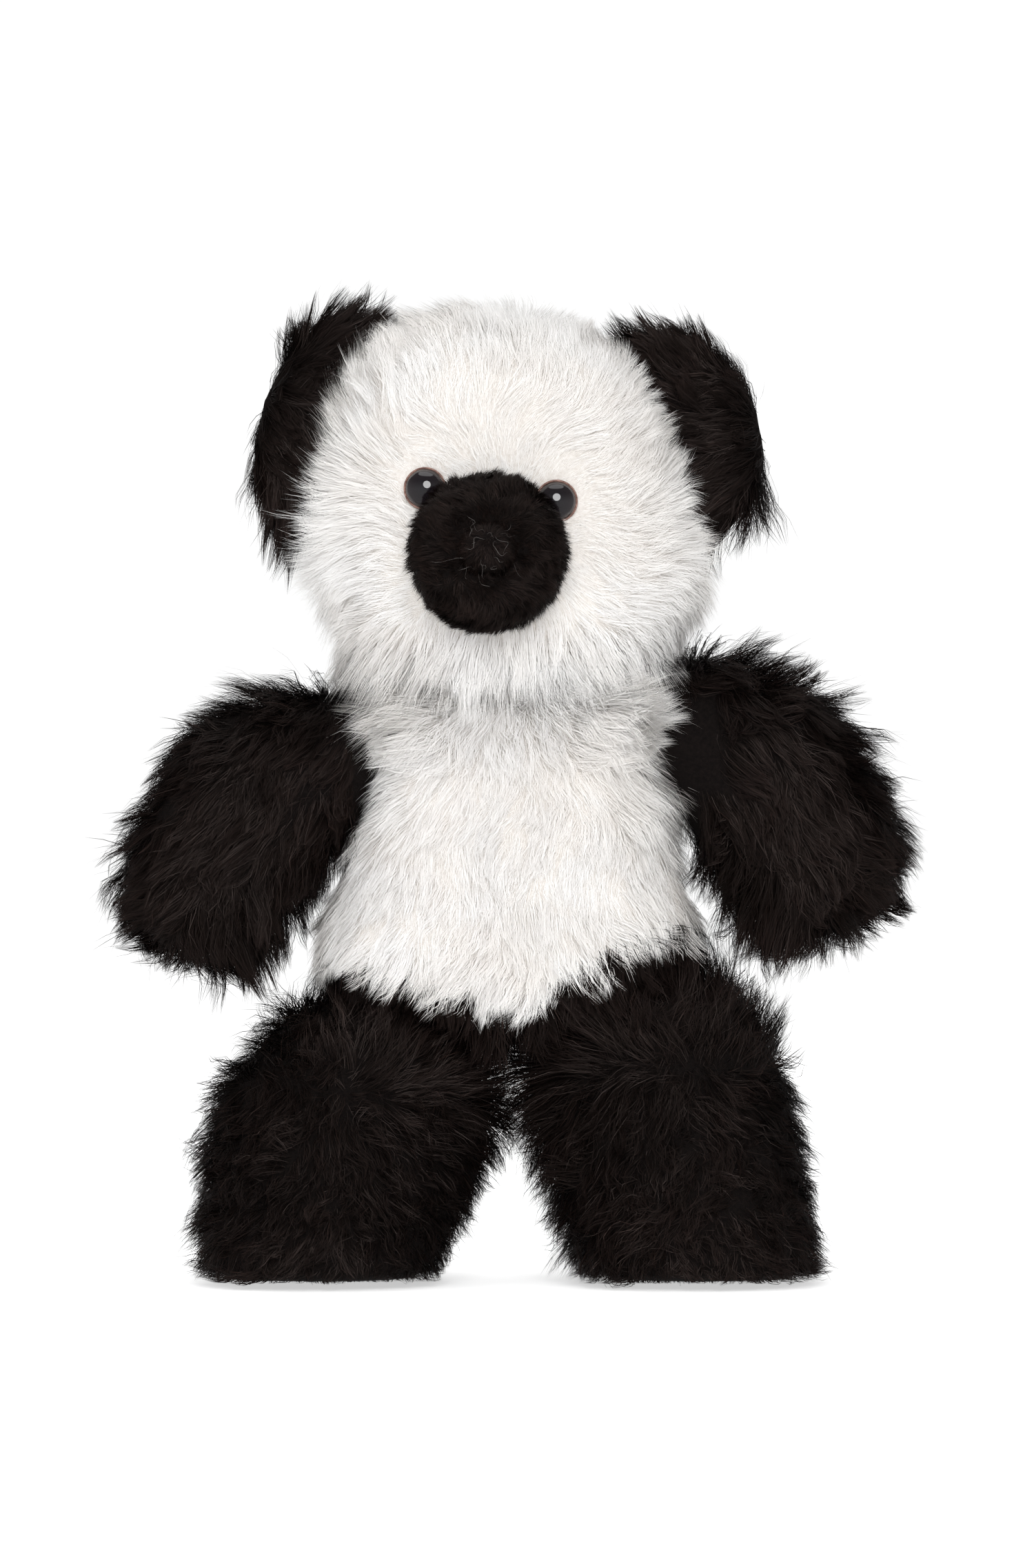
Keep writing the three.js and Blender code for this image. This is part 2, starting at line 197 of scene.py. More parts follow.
WHITE = strand_material(
    "white_pile",
    [(0.0, (0.88, 0.85, 0.82)), (0.35, (0.92, 0.91, 0.90)), (1.0, (0.93, 0.925, 0.918))],
    [(0.0, (0.965, 0.955, 0.94)), (0.3, (0.99, 0.987, 0.983)), (1.0, (1.0, 1.0, 1.0))],
    [(0.965, 0.948, 0.93), (1.0, 1.0, 1.0)], roughness=0.7, specular=0.10)
BLACK = strand_material(
    "black_pile",
    [(0.0, (0.0030, 0.0019, 0.0016)), (0.6, (0.0060, 0.0037, 0.0031)), (1.0, (0.013, 0.0085, 0.0075))],
    [(0.0, (0.5, 0.5, 0.5)), (0.8, (1.0, 1.0, 1.0)), (0.94, (1.6, 1.55, 1.5)), (1.0, (4.2, 3.8, 3.6))],
    [(0.65, 0.65, 0.65), (1.35, 1.3, 1.3)], roughness=0.42, specular=0.16, tint=WARM)
CLIPPED = strand_material(
    "clipped_black_pile",
    [(0.0, (0.0024, 0.0015, 0.0013)), (0.7, (0.0060, 0.0038, 0.0032)), (1.0, (0.015, 0.0100, 0.0088))],
    [(0.0, (0.5, 0.5, 0.5)), (0.85, (1.0, 1.0, 1.0)), (1.0, (2.4, 2.1, 2.0))],
    [(0.5, 0.5, 0.5), (1.6, 1.5, 1.45)], roughness=0.5, specular=0.16, tint=WARM, patches=110)
STRAY = strand_material(
    "pale_stray_hairs",
    [(0.0, (0.10, 0.09, 0.085)), (1.0, (0.24, 0.22, 0.21))],
    [(0.0, (0.6, 0.6, 0.6)), (1.0, (1.0, 1.0, 1.0))],
    [(0.9, 0.9, 0.9), (1.0, 1.0, 1.0)], roughness=0.4, specular=0.3)
# The white hides carry painted shade: their darker cream stands for the shadow between the strands.
WHITE_HIDE_AND_PAINTED_SHADE = hide_material("white_underfur_and_painted_shade", *WHITE_UNDERFUR_AND_PAINTED_SHADE)
BLACK_HIDE = hide_material("black_underfur", *BLACK_UNDERFUR)
TORSO_HIDE_AND_PAINTED_SHADE = hide_material("white_painted_shade_and_black_underfur", *WHITE_UNDERFUR_AND_PAINTED_SHADE, other=BLACK_UNDERFUR)


# ---------------------------------------------------------------- skins

def new_object(name, mesh, material):
    piece = bpy.data.objects.new(name, mesh)
    scene.collection.objects.link(piece)
    mesh.materials.append(material)
    return piece


def applied(piece):
    """Bakes a piece's modifiers into its mesh."""
    view = bpy.context.evaluated_depsgraph_get()
    mesh = bpy.data.meshes.new_from_object(piece.evaluated_get(view))
    piece.modifiers.clear()
    old = piece.data
    piece.data = mesh
    bpy.data.meshes.remove(old)
    mesh.name = piece.name
    for polygon in mesh.polygons:
        polygon.use_smooth = True


def skin(name, body, nodes, material, voxel, smooth):
    """One soft closed skin over several CAD solids, which it stands for."""
    joined = bmesh.new()
    for node in nodes:
        joined.from_mesh(frame["nodes"][node].data)
    bmesh.ops.remove_doubles(joined, verts=joined.verts, dist=1e-6)
    mesh = bpy.data.meshes.new(name)
    joined.to_mesh(mesh)
    joined.free()
    mesh.materials.clear()
    piece = new_object(name, mesh, material)
    remesh = piece.modifiers.new("even", "REMESH")
    remesh.mode = "VOXEL"
    remesh.voxel_size = voxel * MM
    relax = piece.modifiers.new("relax", "SMOOTH")
    relax.factor = 0.5
    relax.iterations = smooth
    applied(piece)
    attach(piece, body)
    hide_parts(*nodes)
    return piece


# ---------------------------------------------------------------- fur

MOST_STRANDS = 38000  # in one piece
SIDE_LIMIT = np.array([135.4, 73.5])  # how far from the middle a hair may reach, across and front to back
FLOOR = 0.6  # no hair goes lower
ROOT_DEPTH = 0.4  # how deep in the skin a strand starts
LOOSE_SHARE = 0.12  # of the strands, which hardly join a wisp
DOWN = np.array([0.0, 0.0, -1.0])


def unit(v):
    return v / np.maximum(np.linalg.norm(v, axis=-1, keepdims=True), 1e-9)


def all_of(at, value):
    """The same value for every strand."""
    return np.full(len(at), float(value))


def ways(x, y, z):
    """Directions from their three parts, of which one at least has a value for each strand."""
    return np.stack(np.broadcast_arrays(x, y, z), 1).astype(float)


def share(value):
    """A value kept between 0 and 1."""
    return np.clip(value, 0, 1)


def surface(piece):
    """A skin's triangles in millimetres: corners, corner normals and areas."""
    mesh = piece.data
    mesh.calc_loop_triangles()
    points = np.empty(len(mesh.vertices) * 3, np.float32)
    mesh.vertices.foreach_get("co", points)
    normals = np.empty(len(mesh.vertices) * 3, np.float32)
    mesh.vertex_normals.foreach_get("vector", normals)
    triangles = np.empty(len(mesh.loop_triangles) * 3, np.int32)
    mesh.loop_triangles.foreach_get("vertices", triangles)
    triangles = triangles.reshape(-1, 3)
    corners = points.reshape(-1, 3)[triangles] / MM
    sides = corners[:, 1:] - corners[:, :1]
    areas = np.linalg.norm(np.cross(sides[:, 0], sides[:, 1]), axis=1) / 2
    return corners, normals.reshape(-1, 3)[triangles], areas


def roots(piece, count, keep, rng):
    """Random places on a skin, as thick as keep(places, normals) says, their normals and the area covered."""
    corners, normals, areas = surface(piece)
    covered = areas
    if keep is not None:
        covered = areas * keep(corners.mean(1), unit(normals.mean(1)))
    picked = rng.choice(len(areas), count, p=covered / covered.sum())
    a, b = rng.random((2, count, 1))
    flip = (a + b) > 1
    a, b = np.where(flip, 1 - a, a), np.where(flip, 1 - b, b)
    weights = np.stack([1 - a - b, a, b], 1)
    at = (corners[picked] * weights).sum(1)
    normal = unit((normals[picked] * weights).sum(1))
    return at.astype(np.float64), normal.astype(np.float64), covered.sum()


def swirl(at, size):
    """A smooth direction that wanders over the coat, as brushed wool does."""
    x, z = at[:, 0] / size, at[:, 2] / size
    return ways(np.sin(1.9 * z + 1.3 * np.sin(1.1 * x)), 0, np.cos(2.3 * x + 1.7 * np.sin(0.9 * z + 1)))


def nearest(places, guides):
    """Which guide is nearest to each place."""
    tree = kdtree.KDTree(len(guides))
    for i, guide in enumerate(guides):
        tree.insert(guide, i)
    tree.balance()
    return np.fromiter((tree.find(place)[1] for place in places), np.int64, len(places))


def clumps(at, area, size, least, rng):
    """The strands that lead a clump of about this size each, and which leader each strand is nearest to."""
    count = min(len(at), max(least, int(area / size ** 2)))
    leaders = rng.choice(len(at), count, replace=False)
    return leaders, nearest(at, at[leaders])


def grown(at, normal, way, length, lift, hang, phase, turns, wave, rows):
    """Strands as curves of rows + 1 points: out of the skin, over into their way to lie, with a slow wave."""
    side = unit(np.cross(way, normal))
    first = unit(normal * lift[:, None] + way * (1 - lift[:, None]))
    curve = np.empty((len(at), rows + 1, 3))
    curve[:, 0] = at - normal * ROOT_DEPTH
    for k in range(1, rows + 1):
        v = k / rows
        go = unit(first * (1 - 0.55 * v) + way * 0.55 * v + DOWN * hang[:, None] * v)
        curve[:, k] = curve[:, k - 1] + go * (length / rows)[:, None]
    sway = wave * np.minimum(length / 12, 1.3)
    for k in range(1, rows + 1):
        v = k / rows
        swing = np.sin(phase + turns * 2 * math.pi * v) * sway * v
        rise = np.cos(phase * 1.7 + turns * 2 * math.pi * v) * sway * 0.5 * v
        curve[:, k] += side * swing[:, None] + normal * rise[:, None]
    return curve


def drawn_together(curve, at, locks, of_lock, wisps, of_wisp, pull, rng):
    """Draws strands to their wisp and wisps to their lock, from the root, where nothing moves, to the tip."""
    steps = np.linspace(0, 1, curve.shape[1])[None, :, None]
    guide = curve[wisps].copy()
    guide += (curve[locks][of_lock[wisps]] - guide) * pull[0] * steps ** 1.3
    target = guide[of_wisp] + (at - at[wisps][of_wisp])[:, None, :] * (1 - steps)
    loose = np.where(rng.random(len(at)) < LOOSE_SHARE, rng.uniform(0, 0.4, len(at)), 1.0)
    return curve + (target - curve) * pull[1] * steps ** 1.1 * loose[:, None, None]


def shortened(curve, over, room, reach, least):
    """Shortens the strands that go over a limit to what they have room for."""
    part = np.where(over, np.clip(room / np.maximum(reach, 1e-6), least, 1), 1)
    return curve[:, :1] + (curve - curve[:, :1]) * part[:, None, None]


def kept_inside(curve, spare):
    """Shortens hairs that would reach too far to the sides, or nearer to the floor than spare and, at the
    toy's front, a little more."""
    for axis, limit in enumerate(SIDE_LIMIT):
        root, tip = np.abs(curve[:, 0, axis]), np.abs(curve[:, -1, axis])
        curve = shortened(curve, tip > limit, limit - root, tip - root, 0.1)
    root, tip = curve[:, 0, 2], curve[:, -1, 2]
    lowest = FLOOR + spare + 1.4 * share((-6 - curve[:, -1, 1]) / 26)
    curve = shortened(curve, tip < lowest, root - lowest, root - tip, 0.15)
    curve[:, :, 2] = np.maximum(curve[:, :, 2], FLOOR)
    return curve


def fur(name, body, piece, material, count, comb, seed, width=0.14, rows=3, lock=7.0, wisp=2.0,
        pull=(0.45, 0.5), wave=0.6, ragged=0.25, soft=0.85, mess=0.2, keep=None):
    """Grows strands on a skin. comb(places, normals) gives each strand's way to lie, its length, how far it
    stands up (0 to 1) and how much it hangs. Strands draw together into wisps, and wisps into locks."""
    rng = np.random.default_rng(seed)
    at, normal, area = roots(piece, count, keep, rng)
    total = len(at)
    way, length, lift, hang = comb(at, normal)
    way = unit(way - normal * (way * normal).sum(1, keepdims=True) * 0.9)
    locks, of_lock = clumps(at, area, lock, 4, rng)
    wisps, of_wisp = clumps(at, area, wisp, 8, rng)

    # Each lock has its own lean, length and wave; each wisp and each strand adds a little of its own.
    lean = rng.normal(0, mess, (len(locks), 3))[of_lock] + rng.normal(0, 0.6 * mess, (len(wisps), 3))[of_wisp]
    way = unit(way + lean + rng.normal(0, 0.5 * mess, (total, 3)))
    stretch = rng.normal(0, 0.5, len(locks))[of_lock] + rng.normal(0, 0.35, len(wisps))[of_wisp]
    stretch = 1 + ragged * (stretch + rng.normal(0, 0.5, total))
    length = length * np.clip(stretch, 0.4, 1.8)
    lift = np.clip(lift + rng.normal(0, 0.08, len(locks))[of_lock] + rng.normal(0, 0.10, total), 0.05, 0.95)
    phase = rng.uniform(0, 2 * math.pi, len(locks))[of_lock] + rng.normal(0, 0.9, len(wisps))[of_wisp]
    turns = 1.1 + rng.normal(0, 0.25, len(locks))[of_lock]

    curve = grown(at, normal, way, length, lift, hang, phase, turns, wave, rows)
    curve = drawn_together(curve, at, locks, of_lock, wisps, of_wisp, pull, rng)
    curve = kept_inside(curve, np.abs(rng.normal(0, 2.0, len(locks)))[of_lock])

    pieces = -(-total // MOST_STRANDS)
    for i in range(pieces):
        part = slice(i, None, pieces)
        label = name if pieces == 1 else f"{name}_{i + 1}"
        ribbons(label, body, curve[part], normal[part], material, width, soft, rng)


def ribbons(name, body, curve, normal, material, width, soft, rng):
    """Strands as thin tapered ribbons in one mesh, each with a colour column of its own in the UV layer."""
    total, rows = len(curve), curve.shape[1] - 1
    tangent = np.empty_like(curve)
    tangent[:, 1:-1] = curve[:, 2:] - curve[:, :-2]
    tangent[:, 0] = curve[:, 1] - curve[:, 0]
    tangent[:, -1] = curve[:, -1] - curve[:, -2]
    tangent = unit(tangent)
    # Pile that hangs from an underside shows its side, so it faces outward as an upright surface does.
    lit = normal.copy()
    lit[:, 2] = np.maximum(lit[:, 2], -0.1)
    around = unit(curve[:, -1, :2] - curve[:, 0, :2].mean(0))
    lit[:, :2] += around * share(0.1 - normal[:, 2:])
    lit = unit(lit)
    twist = rng.normal(0, 0.5, total)
    across = unit(np.cross(tangent, lit[:, None, :]))
    upward = np.cross(across, tangent)
    across = across * np.cos(twist)[:, None, None] + upward * np.sin(twist)[:, None, None]
    steps = np.linspace(0, 1, rows + 1)
    half = width / 2 * rng.uniform(0.6, 1.4, total)[:, None, None] * (1 - 0.6 * steps ** 2)[None, :, None]
    facing = unit(np.cross(across, tangent))
    facing *= np.sign((facing * lit[:, None, :]).sum(2, keepdims=True) + 1e-6)
    scatter = rng.normal(0, 0.12, (total, 1, 3)) * (1.3 - soft)
    shade = unit(lit[:, None, :] * soft + facing * (1 - soft) + scatter)

    per = 2 * rows + 1
    column = rng.integers(0, STRAND_COLUMNS, total)
    points = np.empty((total, per, 3), np.float32)
    normals = np.empty((total, per, 3), np.float32)
    uv = np.empty((total, per, 2), np.float32)
    for edge, sign in ((0, -1), (1, 1)):
        points[:, edge:2 * rows:2] = (curve + across * half * sign)[:, :rows]
        normals[:, edge:2 * rows:2] = shade[:, :rows]
        uv[:, edge:2 * rows:2, 0] = ((column + 0.5 + 0.38 * sign) / STRAND_COLUMNS)[:, None]
        uv[:, edge:2 * rows:2, 1] = steps[:rows]
    points[:, -1] = curve[:, -1]
    normals[:, -1] = shade[:, -1]
    uv[:, -1, 0] = (column + 0.5) / STRAND_COLUMNS
    uv[:, -1, 1] = 1.0

    # Each ribbon is rows - 1 four-sided faces and a three-sided tip.
    quads = []
    for k in range(rows - 1):
        quads += [2 * k, 2 * k + 1, 2 * k + 3, 2 * k + 2]
    pattern = np.array(quads + [2 * rows - 2, 2 * rows - 1, 2 * rows])
    loops = (np.arange(total)[:, None] * per + pattern[None, :]).ravel().astype(np.int32)
    spans = np.array([4] * (rows - 1) + [3])
    first = np.concatenate([[0], np.cumsum(spans)[:-1]])
    starts = (np.arange(total)[:, None] * len(pattern) + first).ravel()

    mesh = bpy.data.meshes.new(name)
    mesh.vertices.add(total * per)
    mesh.vertices.foreach_set("co", (points * MM).ravel())
    mesh.loops.add(len(loops))
    mesh.loops.foreach_set("vertex_index", loops)
    mesh.polygons.add(total * rows)
    mesh.polygons.foreach_set("loop_start", starts.astype(np.int32))
    layer = mesh.uv_layers.new(name=STRAND_UV)
    layer.data.foreach_set("uv", uv.reshape(-1, 2)[loops].ravel())
    mesh.update(calc_edges=True)
    mesh.polygons.foreach_set("use_smooth", np.ones(total * rows, bool))
    mesh.normals_split_custom_set_from_vertices(normals.reshape(-1, 3))
    piece = new_object(name, mesh, material)
    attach(piece, body)


# ---------------------------------------------------------------- torso

TORSO = (box("torso_front_panel")[0] + box("torso_back_left_panel")[1]) / 2
TORSO_TOP = box("torso_front_panel")[1][2]
TORSO_HALF = 60  # half the torso's width
torso_skin = skin(
    "torso_skin", "torso",
    ["torso_front_panel", "torso_back_right_panel", "torso_back_left_panel", "torso_stuffing"],
    TORSO_HIDE_AND_PAINTED_SHADE, voxel=3.0, smooth=8)
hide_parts("back_closing_thread", "right_hip_thread", "left_hip_thread")


# Where the white front ends and the black seat begins: heights above the floor, across the body.
HEM_ACROSS = [-68, -39, -15, 4, 16, 37, 67]
HEM_HEIGHT = [99, 96, 89, 81, 95, 106, 110]


def above_hem(at):
    return at[:, 2] - np.interp(at[:, 0] - TORSO[0], HEM_ACROSS, HEM_HEIGHT)


def torso_comb(at, normal):
    x = (at[:, 0] - TORSO[0]) / TORSO_HALF
    height = at[:, 2]
    low = share((112 - height) / 25)
    high = share((height - (TORSO_TOP - 45)) / 30)
    side = share(np.abs(x) * 2.2 - 0.5)
    # Down the belly, and out over the arms at the shoulders and over the legs at the hips.
    out = np.sign(x) * (0.45 * np.abs(x) + 0.6 * side * high + 0.8 * side * low)
    way = ways(out - 0.15, -0.25 * side * high, -1 + 0.4 * high * side + 0.35 * side * low)
    way = unit(way) + 0.28 * swirl(at, 16)
    length = 11.0 - 1.5 * side * high + 3 * side * low + 1.5 * low * (1 - side)
    lift = 0.30 - 0.06 * low
    # Longer beside the left arm, over its root.
    over = share(3 * x - 1) * share(1.2 - np.abs(height - (TORSO_TOP - 26)) / 20)
    way = way + np.array([0.9, -0.7, 0.2]) * over[:, None]
    length = length + 7 * over
    lift = lift + 0.15 * over
    # At the top the pile stands up and out, and fills the neck's hollow.
    top = share((height - (TORSO_TOP - 22)) / 16)
    rise = ways(0.8 * (at[:, 0] - TORSO[0]) / 40, 1.3 * (at[:, 1] - TORSO[1]) / 28, 0.1)
    way = way * (1 - top)[:, None] + rise * top[:, None]
    length = length * (1 - top) + (19 + 2 * share(np.abs(x) * 2 - 0.5)) * top
    lift = lift * (1 - top) + 0.72 * top
    return way, length, lift, 0.18 + 0.10 * low - 0.12 * high


def torso_keep(at, normal):
    return share(above_hem(at) / 4)


def seat_comb(at, normal):
    x = (at[:, 0] - TORSO[0]) / TORSO_HALF
    way = ways(0.6 * x, 0.6 * normal[:, 1], -0.8)
    between_legs = share(-normal[:, 2]) * share(1.4 - 4 * np.abs(x))
    return way, 9.5 + 6 * between_legs, all_of(at, 0.55), all_of(at, 0.05)


def seat_keep(at, normal):
    return share(1 - (above_hem(at) - 1) / 4)


def shoulder_comb(at, normal):
    x = at[:, 0] - TORSO[0]
    way = ways(np.sign(x), -0.75 - 0.2 * normal[:, 1], 0.30)
    length = np.where(x < 0, 12.0, 10.0) + 12 * share((at[:, 2] - TORSO_TOP + 26) / 20)
    return way, length, all_of(at, 0.40), all_of(at, 0.16)


def shoulder_keep(at, normal):
    x = np.abs(at[:, 0] - TORSO[0])
    rise = at[:, 2] - (TORSO_TOP - 26)
    return share((x - 16) / 8) * share(rise / 10) * (normal[:, 1] < 0.4)


white_part = torso_skin.data.attributes.new(WHITE_PART, "FLOAT", "POINT")
white_share = share(above_hem(corner_places(torso_skin.data)) / 3 + 0.5)
white_part.data.foreach_set("value", white_share.astype(np.float32))

fur("torso_fur", "torso", torso_skin, WHITE, 76000, torso_comb, 11, width=0.14, lock=7, wisp=2.0,
    pull=(0.4, 0.54), wave=1.1, soft=0.95, mess=0.18, keep=torso_keep)
fur("shoulder_fur", "torso", torso_skin, WHITE, 14000, shoulder_comb, 12, width=0.14, pull=(0.4, 0.7),
    wave=1.0, soft=0.95, mess=0.25, keep=shoulder_keep)
fur("seat_fur", "torso", torso_skin, BLACK, 16000, seat_comb, 13, width=0.19, lock=7, wisp=1.7,
    pull=(0.4, 0.85), ragged=0.4, soft=0.5, mess=0.35, keep=seat_keep)

# ---------------------------------------------------------------- head

HEAD = (box("head_right_panel")[0] + box("head_left_panel")[1]) / 2
HEAD_LOW = box("head_right_panel")[0][2]
head_skin = skin(
    "head_skin", "head",
    ["head_gusset_panel", "head_right_panel", "head_left_panel", "head_stuffing"],
    WHITE_HIDE_AND_PAINTED_SHADE, voxel=3.0, smooth=8)
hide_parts("right_eye_washer", "left_eye_washer")
MUZZLE = middle("muzzle_cover")
NOSE = middle("nose")
MUZZLE_R = (box("muzzle_cover")[1][0] - box("muzzle_cover")[0][0]) / 2
EYE_CLEARING = 5.4  # no pile grows nearer than this to the middle of an eye
EYES = {side: middle(f"{side}_eye") for side in ("right", "left")}


def from_eye(at, eye):
    return np.hypot(at[:, 0] - eye[0], at[:, 2] - eye[2])


def head_comb(at, normal):
    x = at[:, 0] - HEAD[0]
    front = normal[:, 1] < -0.3
    low = share((HEAD_LOW + 32 - at[:, 2]) / 22)
    under = share((HEAD_LOW + 17 - at[:, 2]) / 10)
    crown = share((normal[:, 2] - 0.45) / 0.3)
    sides = share((np.abs(x) - 28) / 16)
    beside_left_ear = share((x - 20) / 12) * share((at[:, 2] - HEAD[2]) / 12)
    beside_right_ear = share((-24 - x) / 12) * share(1.2 - np.abs(at[:, 2] - HEAD[2] + 6) / 20)

    # Away from the muzzle on the face, down at the back, and hanging as a beard over the neck.
    from_muzzle = (at - MUZZLE) * np.array([1, 0.15, 1])
    away = share((np.hypot(from_muzzle[:, 0], from_muzzle[:, 2]) - MUZZLE_R) / 32)
    back = share((at[:, 1] - HEAD[1]) / 30)[:, None]
    way = unit(from_muzzle) * (1 - back) + np.array([0, 0.3, -1]) * back + 0.35 * swirl(at, 13)
    hanging = ways(x / 60, 0.7 * (at[:, 1] - HEAD[1]) / 30, -1)
    way = way * (1 - under)[:, None] + hanging * under[:, None]

    length = np.where(front, 5 + 5 * away, 10) + (2.5 - 2.5 * low) * sides + 2.0 * low + 8 * under
    length += 2 * under * share(1.4 - np.abs(x + 6) / 24)
    length += np.where(x < 0, 2, -2) * sides * low
    length += 7 * beside_right_ear - 2.5 * beside_left_ear
    for eye in EYES.values():
        length = length * np.where(front, np.clip((from_eye(at, eye) - 2) / 12, 0.3, 1), 1)
    lift = np.where(front, 0.34 - 0.10 * away, 0.34) + 0.12 * sides + 0.14 * crown + 0.3 * under
    return way, length, lift, 0.10 + 0.15 * low - 0.08 * crown + 0.45 * under


def head_keep(at, normal):
    keep = np.ones(len(at))
    front = normal[:, 1] < -0.3
    reach = np.hypot(at[:, 0] - MUZZLE[0], at[:, 2] - MUZZLE[2])
    keep[front & (reach < MUZZLE_R - 4)] = 0
    for eye in EYES.values():
        keep[front & (from_eye(at, eye) < EYE_CLEARING)] = 0
    return keep


fur("head_fur", "head", head_skin, WHITE, 104000, head_comb, 21, width=0.12, wave=0.8, keep=head_keep,
    lock=6.5, wisp=1.8, pull=(0.3, 0.42), mess=0.20, soft=0.96)

# The neck's filling and thread sit under the fur.
neck_skin = skin("neck_skin", "neck", ["neck_stuffing"], WHITE_HIDE_AND_PAINTED_SHADE, voxel=2.0, smooth=4)
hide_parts("neck_thread")
NECK = joint_at("neck_nod")


def neck_comb(at, normal):
    return normal + np.array([0, 0, 0.05]), all_of(at, 17), all_of(at, 0.85), all_of(at, 0.05)


def neck_keep(at, normal):
    return share(1.3 - np.abs(at[:, 2] - NECK[2]) / 8)


fur("neck_fur", "neck", neck_skin, WHITE, 9000, neck_comb, 22, width=0.16, wave=1.0, mess=0.2, soft=0.96,
    pull=(0.2, 0.3), keep=neck_keep)

# ---------------------------------------------------------------- muzzle and nose

muzzle_skin = skin("muzzle_skin", "head", ["muzzle_cover", "muzzle_stuffing"], BLACK_HIDE,
                   voxel=1.6, smooth=6)


def muzzle_comb(at, normal):
    curl = ways(np.sin(at[:, 2] * 0.35 + 2), -0.2, np.cos(at[:, 0] * 0.3))
    out = unit(ways(at[:, 0] - MUZZLE[0], 0, at[:, 2] - MUZZLE[2] - 3) + 1e-6)
    by_nose = share(1.6 - np.hypot(at[:, 0] - NOSE[0], at[:, 2] - NOSE[2]) / 8) * (normal[:, 1] < 0)
    return out + curl * 0.6, 4.0 - 2.9 * by_nose, all_of(at, 0.62), all_of(at, 0.1)


def muzzle_keep(at, normal):
    return (normal[:, 1] < 0.6) * 1.0


fur("muzzle_fur", "head", muzzle_skin, CLIPPED, 38000, muzzle_comb, 31, width=0.14, rows=2, lock=3.2,
    wisp=0.9, pull=(0.4, 0.5), wave=0.25, ragged=0.35, soft=0.4, mess=0.4, keep=muzzle_keep)

nose_skin = skin("nose_skin", "head", ["nose"], BLACK_HIDE, voxel=0.8, smooth=4)


def nose_comb(at, normal):
    way = ways(at[:, 0] - NOSE[0], 0, at[:, 2] - NOSE[2] - 4)
    return unit(way + 1e-6), all_of(at, 2.3), all_of(at, 0.6), all_of(at, 0)


def nose_keep(at, normal):
    return (normal[:, 1] < 0.3) * 1.0


def stray_comb(at, normal):
    way = ways(np.sin(at[:, 2] * 7), 0, np.cos(at[:, 0] * 9))
    return way, all_of(at, 5.5), all_of(at, 0.45), all_of(at, 0)


def stray_keep(at, normal):
    return (normal[:, 1] < -0.2) * 1.0


fur("nose_fur", "head", nose_skin, CLIPPED, 4500, nose_comb, 32, width=0.12, rows=2, lock=2.5, wisp=0.8,
    pull=(0.2, 0.3), wave=0.2, soft=0.5, keep=nose_keep)
fur("nose_stray_hairs", "head", nose_skin, STRAY, 26, stray_comb, 33, width=0.08, rows=8, lock=3, wisp=1.2,
    pull=(0.0, 0.0), wave=3.2, ragged=0.6, soft=0.3, keep=stray_keep)

# ---------------------------------------------------------------- eyes

def eye_material():
    m = Nodes("eye_gloss", 0.04, 0.6)
    place = m.add("ShaderNodeTexCoord")
    split = m.add("ShaderNodeSeparateXYZ")
    m.link(place.outputs["UV"], split.inputs[0])
    m.colour(m.ramp(split.outputs["Y"], [(0.0, (0.10, 0.050, 0.030)), (0.12, (0.050, 0.026, 0.018)),
                                         (0.3, (0.012, 0.008, 0.009)), (1.0, (0.006, 0.005, 0.007))]))
    return m.material


def rim_material():
    m = Nodes("eye_rim_hide", 0.6, 0.3)
    blotch = m.noise(700, 4, 0.6)
    m.colour(m.ramp(blotch, [(0.35, (0.10, 0.045, 0.035)), (0.7, (0.36, 0.22, 0.18))]))
    m.bump(blotch, 0.5, 0.0004)
    return m.material


EYE_GLOSS, EYE_RIM = eye_material(), rim_material()


def turned(name, profile, around, centre, axis, material):
    """A closed smooth turned form: profile is [radius, height] pairs in millimetres, v runs along it."""
    form = bmesh.new()
    uv_layer = form.loops.layers.uv.new("UVMap")
    rings = []
    for radius, height in profile:
        if radius < 1e-6:
            rings.append([form.verts.new((0, 0, height * MM))])
        else:
            rings.append([form.verts.new((radius * MM * math.cos(a), radius * MM * math.sin(a), height * MM))
                          for a in np.linspace(0, 2 * math.pi, around, endpoint=False)])
    for k, (low, high) in enumerate(zip(rings, rings[1:])):
        v0, v1 = k / (len(rings) - 1), (k + 1) / (len(rings) - 1)
        for i in range(around):
            j = (i + 1) % around
            if len(low) == 1:
                corners = [(low[0], v0), (high[j], v1), (high[i], v1)]
            elif len(high) == 1:
                corners = [(low[i], v0), (low[j], v0), (high[0], v1)]
            else:
                corners = [(low[i], v0), (low[j], v0), (high[j], v1), (high[i], v1)]
            face = form.faces.new([c[0] for c in corners])
            face.smooth = True
            for loop, (_, v) in zip(face.loops, corners):
                loop[uv_layer].uv = (i / around, v)
    bmesh.ops.recalc_face_normals(form, faces=form.faces)
    mesh = bpy.data.meshes.new(name)
    form.to_mesh(mesh)
    form.free()
    turn = Vector((0, 0, 1)).rotation_difference(Vector(axis)).to_matrix().to_4x4()
    mesh.transform(turn)
    for vertex in mesh.vertices:
        vertex.co += Vector([c * MM for c in centre])
    return new_object(name, mesh, material)


def eye_axis(side):
    """The eye's own axis, from the washer behind it to the front of its cap, and the cap's foremost point."""
    places = corner_places(frame["nodes"][f"{side}_eye"].data)
    front = places[np.argsort(places[:, 1])[:40]].mean(0)
    return unit(front - middle(f"{side}_eye_washer")), places[np.argmin(places[:, 1])]


CAP_RADIUS = 5.8
CAP_HEIGHT = 3.8
RIM_RADIUS = 6.25  # to the middle of the ring of hide round the cap
EYE_SHIFT = np.array([-0.6, 0, 0])
cap_profile = [(0.0, -1.0), (5.2, -1.0), (5.6, -0.6)]
cap_profile += [(CAP_RADIUS * math.cos(t), CAP_HEIGHT * math.sin(t)) for t in np.linspace(0, math.pi / 2, 14)]
cap_profile[-1] = (0.0, CAP_HEIGHT)
rim_profile = [(RIM_RADIUS + 0.35 * math.cos(t), -0.5 + 0.6 * math.sin(t))
               for t in np.linspace(0, 2 * math.pi, 11)]

